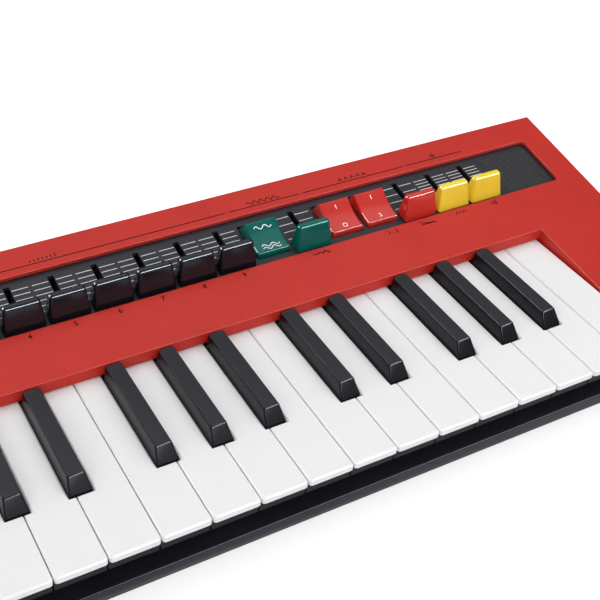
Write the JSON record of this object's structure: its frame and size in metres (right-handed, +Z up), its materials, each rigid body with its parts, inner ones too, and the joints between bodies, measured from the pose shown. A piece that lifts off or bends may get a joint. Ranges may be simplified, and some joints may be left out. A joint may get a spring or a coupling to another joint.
{
  "type": "combo organ",
  "caption": "Compact combo organ: red two-part case, small hinged keys, footage slide levers, coloured rocker switches and levers on a recessed dark strip.",
  "frame": {"origin": "on the table, under the middle of the outline", "axes": "+X to the player's right, +Y from the player to the back panel, +Z up"},
  "size_m": [0.53, 0.1684, 0.0595],
  "materials": {
    "red_case": "satin moulded red",
    "black_case": "fine-textured black",
    "panel_grey": "dark anthracite, satin",
    "white_key": "glossy white",
    "black_key": "satin black top, gloss sides",
    "green_plastic": "glossy green",
    "red_plastic": "glossy red",
    "yellow_plastic": "glossy yellow",
    "black_plastic": "glossy black",
    "keybed_plastic": "plain dark grey",
    "board_green": "green board with black parts"
  },
  "bodies": {
    "case": {"upper_case": "red_case", "lower_case": "black_case", "control_panel": "panel_grey", "keybed_frame": "keybed_plastic", "circuit_board": "board_green"},
    "white_key_c3": {"white_key_c3": "white_key"},
    "black_key_c_sharp3": {"black_key_c_sharp3": "black_key"},
    "white_key_d3": {"white_key_d3": "white_key"},
    "black_key_d_sharp3": {"black_key_d_sharp3": "black_key"},
    "white_key_e3": {"white_key_e3": "white_key"},
    "white_key_f3": {"white_key_f3": "white_key"},
    "black_key_f_sharp3": {"black_key_f_sharp3": "black_key"},
    "white_key_g3": {"white_key_g3": "white_key"},
    "black_key_g_sharp3": {"black_key_g_sharp3": "black_key"},
    "white_key_a3": {"white_key_a3": "white_key"},
    "black_key_a_sharp3": {"black_key_a_sharp3": "black_key"},
    "white_key_b3": {"white_key_b3": "white_key"},
    "white_key_c4": {"white_key_c4": "white_key"},
    "black_key_c_sharp4": {"black_key_c_sharp4": "black_key"},
    "white_key_d4": {"white_key_d4": "white_key"},
    "black_key_d_sharp4": {"black_key_d_sharp4": "black_key"},
    "white_key_e4": {"white_key_e4": "white_key"},
    "white_key_f4": {"white_key_f4": "white_key"},
    "black_key_f_sharp4": {"black_key_f_sharp4": "black_key"},
    "white_key_g4": {"white_key_g4": "white_key"},
    "black_key_g_sharp4": {"black_key_g_sharp4": "black_key"},
    "white_key_a4": {"white_key_a4": "white_key"},
    "black_key_a_sharp4": {"black_key_a_sharp4": "black_key"},
    "white_key_b4": {"white_key_b4": "white_key"},
    "white_key_c5": {"white_key_c5": "white_key"},
    "black_key_c_sharp5": {"black_key_c_sharp5": "black_key"},
    "white_key_d5": {"white_key_d5": "white_key"},
    "black_key_d_sharp5": {"black_key_d_sharp5": "black_key"},
    "white_key_e5": {"white_key_e5": "white_key"},
    "white_key_f5": {"white_key_f5": "white_key"},
    "black_key_f_sharp5": {"black_key_f_sharp5": "black_key"},
    "white_key_g5": {"white_key_g5": "white_key"},
    "black_key_g_sharp5": {"black_key_g_sharp5": "black_key"},
    "white_key_a5": {"white_key_a5": "white_key"},
    "black_key_a_sharp5": {"black_key_a_sharp5": "black_key"},
    "white_key_b5": {"white_key_b5": "white_key"},
    "white_key_c6": {"white_key_c6": "white_key"},
    "volume_lever": {"volume_lever": "black_plastic"},
    "rotor_speed_lever": {"rotor_speed_lever": "black_plastic"},
    "footage_lever_16": {"footage_lever_16": "black_plastic"},
    "footage_lever_5_1_3": {"footage_lever_5_1_3": "black_plastic"},
    "footage_lever_8": {"footage_lever_8": "black_plastic"},
    "footage_lever_4": {"footage_lever_4": "black_plastic"},
    "footage_lever_2_2_3": {"footage_lever_2_2_3": "black_plastic"},
    "footage_lever_2": {"footage_lever_2": "black_plastic"},
    "footage_lever_1_3_5": {"footage_lever_1_3_5": "black_plastic"},
    "footage_lever_1_1_3": {"footage_lever_1_1_3": "black_plastic"},
    "footage_lever_1": {"footage_lever_1": "black_plastic"},
    "vibrato_depth_lever": {"vibrato_depth_lever": "green_plastic"},
    "percussion_length_lever": {"percussion_length_lever": "red_plastic"},
    "distortion_lever": {"distortion_lever": "yellow_plastic"},
    "reverb_lever": {"reverb_lever": "yellow_plastic"},
    "vibrato_chorus_rocker": {"vibrato_chorus_rocker": "green_plastic"},
    "percussion_switch_rocker": {"percussion_switch_rocker": "red_plastic"},
    "percussion_type_rocker": {"percussion_type_rocker": "red_plastic"}
  },
  "joints": [
    {"name": "white_key_c3_press", "type": "hinge", "parent": "case", "child": "white_key_c3", "pos_m": [-0.2079, 0.0252, 0.029], "axis": [1, 0, 0], "range_deg": [0, 2.13], "stiffness_Nm_per_rad": 0.3, "springref_deg": -6.88},
    {"name": "black_key_c_sharp3_press", "type": "hinge", "parent": "case", "child": "black_key_c_sharp3", "pos_m": [-0.2, 0.0252, 0.029], "axis": [1, 0, 0], "range_deg": [0, 2.13], "stiffness_Nm_per_rad": 0.3, "springref_deg": -6.88},
    {"name": "white_key_d3_press", "type": "hinge", "parent": "case", "child": "white_key_d3", "pos_m": [-0.1881, 0.0252, 0.029], "axis": [1, 0, 0], "range_deg": [0, 2.13], "stiffness_Nm_per_rad": 0.3, "springref_deg": -6.88},
    {"name": "black_key_d_sharp3_press", "type": "hinge", "parent": "case", "child": "black_key_d_sharp3", "pos_m": [-0.1762, 0.0252, 0.029], "axis": [1, 0, 0], "range_deg": [0, 2.13], "stiffness_Nm_per_rad": 0.3, "springref_deg": -6.88},
    {"name": "white_key_e3_press", "type": "hinge", "parent": "case", "child": "white_key_e3", "pos_m": [-0.1683, 0.0252, 0.029], "axis": [1, 0, 0], "range_deg": [0, 2.13], "stiffness_Nm_per_rad": 0.3, "springref_deg": -6.88},
    {"name": "white_key_f3_press", "type": "hinge", "parent": "case", "child": "white_key_f3", "pos_m": [-0.1485, 0.0252, 0.029], "axis": [1, 0, 0], "range_deg": [0, 2.13], "stiffness_Nm_per_rad": 0.3, "springref_deg": -6.88},
    {"name": "black_key_f_sharp3_press", "type": "hinge", "parent": "case", "child": "black_key_f_sharp3", "pos_m": [-0.1418, 0.0252, 0.029], "axis": [1, 0, 0], "range_deg": [0, 2.13], "stiffness_Nm_per_rad": 0.3, "springref_deg": -6.88},
    {"name": "white_key_g3_press", "type": "hinge", "parent": "case", "child": "white_key_g3", "pos_m": [-0.1287, 0.0252, 0.029], "axis": [1, 0, 0], "range_deg": [0, 2.13], "stiffness_Nm_per_rad": 0.3, "springref_deg": -6.88},
    {"name": "black_key_g_sharp3_press", "type": "hinge", "parent": "case", "child": "black_key_g_sharp3", "pos_m": [-0.1188, 0.0252, 0.029], "axis": [1, 0, 0], "range_deg": [0, 2.13], "stiffness_Nm_per_rad": 0.3, "springref_deg": -6.88},
    {"name": "white_key_a3_press", "type": "hinge", "parent": "case", "child": "white_key_a3", "pos_m": [-0.1089, 0.0252, 0.029], "axis": [1, 0, 0], "range_deg": [0, 2.13], "stiffness_Nm_per_rad": 0.3, "springref_deg": -6.88},
    {"name": "black_key_a_sharp3_press", "type": "hinge", "parent": "case", "child": "black_key_a_sharp3", "pos_m": [-0.0958, 0.0252, 0.029], "axis": [1, 0, 0], "range_deg": [0, 2.13], "stiffness_Nm_per_rad": 0.3, "springref_deg": -6.88},
    {"name": "white_key_b3_press", "type": "hinge", "parent": "case", "child": "white_key_b3", "pos_m": [-0.0891, 0.0252, 0.029], "axis": [1, 0, 0], "range_deg": [0, 2.13], "stiffness_Nm_per_rad": 0.3, "springref_deg": -6.88},
    {"name": "white_key_c4_press", "type": "hinge", "parent": "case", "child": "white_key_c4", "pos_m": [-0.0693, 0.0252, 0.029], "axis": [1, 0, 0], "range_deg": [0, 2.13], "stiffness_Nm_per_rad": 0.3, "springref_deg": -6.88},
    {"name": "black_key_c_sharp4_press", "type": "hinge", "parent": "case", "child": "black_key_c_sharp4", "pos_m": [-0.0614, 0.0252, 0.029], "axis": [1, 0, 0], "range_deg": [0, 2.13], "stiffness_Nm_per_rad": 0.3, "springref_deg": -6.88},
    {"name": "white_key_d4_press", "type": "hinge", "parent": "case", "child": "white_key_d4", "pos_m": [-0.0495, 0.0252, 0.029], "axis": [1, 0, 0], "range_deg": [0, 2.13], "stiffness_Nm_per_rad": 0.3, "springref_deg": -6.88},
    {"name": "black_key_d_sharp4_press", "type": "hinge", "parent": "case", "child": "black_key_d_sharp4", "pos_m": [-0.0376, 0.0252, 0.029], "axis": [1, 0, 0], "range_deg": [0, 2.13], "stiffness_Nm_per_rad": 0.3, "springref_deg": -6.88},
    {"name": "white_key_e4_press", "type": "hinge", "parent": "case", "child": "white_key_e4", "pos_m": [-0.0297, 0.0252, 0.029], "axis": [1, 0, 0], "range_deg": [0, 2.13], "stiffness_Nm_per_rad": 0.3, "springref_deg": -6.88},
    {"name": "white_key_f4_press", "type": "hinge", "parent": "case", "child": "white_key_f4", "pos_m": [-0.0099, 0.0252, 0.029], "axis": [1, 0, 0], "range_deg": [0, 2.13], "stiffness_Nm_per_rad": 0.3, "springref_deg": -6.88},
    {"name": "black_key_f_sharp4_press", "type": "hinge", "parent": "case", "child": "black_key_f_sharp4", "pos_m": [-0.0032, 0.0252, 0.029], "axis": [1, 0, 0], "range_deg": [0, 2.13], "stiffness_Nm_per_rad": 0.3, "springref_deg": -6.88},
    {"name": "white_key_g4_press", "type": "hinge", "parent": "case", "child": "white_key_g4", "pos_m": [0.0099, 0.0252, 0.029], "axis": [1, 0, 0], "range_deg": [0, 2.13], "stiffness_Nm_per_rad": 0.3, "springref_deg": -6.88},
    {"name": "black_key_g_sharp4_press", "type": "hinge", "parent": "case", "child": "black_key_g_sharp4", "pos_m": [0.0198, 0.0252, 0.029], "axis": [1, 0, 0], "range_deg": [0, 2.13], "stiffness_Nm_per_rad": 0.3, "springref_deg": -6.88},
    {"name": "white_key_a4_press", "type": "hinge", "parent": "case", "child": "white_key_a4", "pos_m": [0.0297, 0.0252, 0.029], "axis": [1, 0, 0], "range_deg": [0, 2.13], "stiffness_Nm_per_rad": 0.3, "springref_deg": -6.88},
    {"name": "black_key_a_sharp4_press", "type": "hinge", "parent": "case", "child": "black_key_a_sharp4", "pos_m": [0.0428, 0.0252, 0.029], "axis": [1, 0, 0], "range_deg": [0, 2.13], "stiffness_Nm_per_rad": 0.3, "springref_deg": -6.88},
    {"name": "white_key_b4_press", "type": "hinge", "parent": "case", "child": "white_key_b4", "pos_m": [0.0495, 0.0252, 0.029], "axis": [1, 0, 0], "range_deg": [0, 2.13], "stiffness_Nm_per_rad": 0.3, "springref_deg": -6.88},
    {"name": "white_key_c5_press", "type": "hinge", "parent": "case", "child": "white_key_c5", "pos_m": [0.0693, 0.0252, 0.029], "axis": [1, 0, 0], "range_deg": [0, 2.13], "stiffness_Nm_per_rad": 0.3, "springref_deg": -6.88},
    {"name": "black_key_c_sharp5_press", "type": "hinge", "parent": "case", "child": "black_key_c_sharp5", "pos_m": [0.0772, 0.0252, 0.029], "axis": [1, 0, 0], "range_deg": [0, 2.13], "stiffness_Nm_per_rad": 0.3, "springref_deg": -6.88},
    {"name": "white_key_d5_press", "type": "hinge", "parent": "case", "child": "white_key_d5", "pos_m": [0.0891, 0.0252, 0.029], "axis": [1, 0, 0], "range_deg": [0, 2.13], "stiffness_Nm_per_rad": 0.3, "springref_deg": -6.88},
    {"name": "black_key_d_sharp5_press", "type": "hinge", "parent": "case", "child": "black_key_d_sharp5", "pos_m": [0.101, 0.0252, 0.029], "axis": [1, 0, 0], "range_deg": [0, 2.13], "stiffness_Nm_per_rad": 0.3, "springref_deg": -6.88},
    {"name": "white_key_e5_press", "type": "hinge", "parent": "case", "child": "white_key_e5", "pos_m": [0.1089, 0.0252, 0.029], "axis": [1, 0, 0], "range_deg": [0, 2.13], "stiffness_Nm_per_rad": 0.3, "springref_deg": -6.88},
    {"name": "white_key_f5_press", "type": "hinge", "parent": "case", "child": "white_key_f5", "pos_m": [0.1287, 0.0252, 0.029], "axis": [1, 0, 0], "range_deg": [0, 2.13], "stiffness_Nm_per_rad": 0.3, "springref_deg": -6.88},
    {"name": "black_key_f_sharp5_press", "type": "hinge", "parent": "case", "child": "black_key_f_sharp5", "pos_m": [0.1354, 0.0252, 0.029], "axis": [1, 0, 0], "range_deg": [0, 2.13], "stiffness_Nm_per_rad": 0.3, "springref_deg": -6.88},
    {"name": "white_key_g5_press", "type": "hinge", "parent": "case", "child": "white_key_g5", "pos_m": [0.1485, 0.0252, 0.029], "axis": [1, 0, 0], "range_deg": [0, 2.13], "stiffness_Nm_per_rad": 0.3, "springref_deg": -6.88},
    {"name": "black_key_g_sharp5_press", "type": "hinge", "parent": "case", "child": "black_key_g_sharp5", "pos_m": [0.1584, 0.0252, 0.029], "axis": [1, 0, 0], "range_deg": [0, 2.13], "stiffness_Nm_per_rad": 0.3, "springref_deg": -6.88},
    {"name": "white_key_a5_press", "type": "hinge", "parent": "case", "child": "white_key_a5", "pos_m": [0.1683, 0.0252, 0.029], "axis": [1, 0, 0], "range_deg": [0, 2.13], "stiffness_Nm_per_rad": 0.3, "springref_deg": -6.88},
    {"name": "black_key_a_sharp5_press", "type": "hinge", "parent": "case", "child": "black_key_a_sharp5", "pos_m": [0.1814, 0.0252, 0.029], "axis": [1, 0, 0], "range_deg": [0, 2.13], "stiffness_Nm_per_rad": 0.3, "springref_deg": -6.88},
    {"name": "white_key_b5_press", "type": "hinge", "parent": "case", "child": "white_key_b5", "pos_m": [0.1881, 0.0252, 0.029], "axis": [1, 0, 0], "range_deg": [0, 2.13], "stiffness_Nm_per_rad": 0.3, "springref_deg": -6.88},
    {"name": "white_key_c6_press", "type": "hinge", "parent": "case", "child": "white_key_c6", "pos_m": [0.2079, 0.0252, 0.029], "axis": [1, 0, 0], "range_deg": [0, 2.13], "stiffness_Nm_per_rad": 0.3, "springref_deg": -6.88},
    {"name": "volume_lever_slide", "type": "slide", "parent": "case", "child": "volume_lever", "axis": [0, 0.9829, 0.184], "range_m": [0, 0.018]},
    {"name": "rotor_speed_lever_slide", "type": "slide", "parent": "case", "child": "rotor_speed_lever", "axis": [0, 0.9829, 0.184], "range_m": [0, 0.018]},
    {"name": "footage_lever_16_slide", "type": "slide", "parent": "case", "child": "footage_lever_16", "axis": [0, 0.9829, 0.184], "range_m": [0, 0.018]},
    {"name": "footage_lever_5_1_3_slide", "type": "slide", "parent": "case", "child": "footage_lever_5_1_3", "axis": [0, 0.9829, 0.184], "range_m": [0, 0.018]},
    {"name": "footage_lever_8_slide", "type": "slide", "parent": "case", "child": "footage_lever_8", "axis": [0, 0.9829, 0.184], "range_m": [0, 0.018]},
    {"name": "footage_lever_4_slide", "type": "slide", "parent": "case", "child": "footage_lever_4", "axis": [0, 0.9829, 0.184], "range_m": [0, 0.018]},
    {"name": "footage_lever_2_2_3_slide", "type": "slide", "parent": "case", "child": "footage_lever_2_2_3", "axis": [0, 0.9829, 0.184], "range_m": [0, 0.018]},
    {"name": "footage_lever_2_slide", "type": "slide", "parent": "case", "child": "footage_lever_2", "axis": [0, 0.9829, 0.184], "range_m": [0, 0.018]},
    {"name": "footage_lever_1_3_5_slide", "type": "slide", "parent": "case", "child": "footage_lever_1_3_5", "axis": [0, 0.9829, 0.184], "range_m": [0, 0.018]},
    {"name": "footage_lever_1_1_3_slide", "type": "slide", "parent": "case", "child": "footage_lever_1_1_3", "axis": [0, 0.9829, 0.184], "range_m": [0, 0.018]},
    {"name": "footage_lever_1_slide", "type": "slide", "parent": "case", "child": "footage_lever_1", "axis": [0, 0.9829, 0.184], "range_m": [0, 0.018]},
    {"name": "vibrato_depth_lever_slide", "type": "slide", "parent": "case", "child": "vibrato_depth_lever", "axis": [0, 0.9829, 0.184], "range_m": [0, 0.018]},
    {"name": "percussion_length_lever_slide", "type": "slide", "parent": "case", "child": "percussion_length_lever", "axis": [0, 0.9829, 0.184], "range_m": [0, 0.018]},
    {"name": "distortion_lever_slide", "type": "slide", "parent": "case", "child": "distortion_lever", "axis": [0, 0.9829, 0.184], "range_m": [0, 0.018]},
    {"name": "reverb_lever_slide", "type": "slide", "parent": "case", "child": "reverb_lever", "axis": [0, 0.9829, 0.184], "range_m": [0, 0.018]},
    {"name": "vibrato_chorus_rocker_tilt", "type": "hinge", "parent": "case", "child": "vibrato_chorus_rocker", "pos_m": [0.0887, 0.04925, 0.04383], "axis": [1, 0, 0], "range_deg": [-29, 0]},
    {"name": "percussion_switch_rocker_tilt", "type": "hinge", "parent": "case", "child": "percussion_switch_rocker", "pos_m": [0.1279, 0.04925, 0.04383], "axis": [1, 0, 0], "range_deg": [-29, 0]},
    {"name": "percussion_type_rocker_tilt", "type": "hinge", "parent": "case", "child": "percussion_type_rocker", "pos_m": [0.1475, 0.04925, 0.04383], "axis": [1, 0, 0], "range_deg": [-29, 0]}
  ]
}
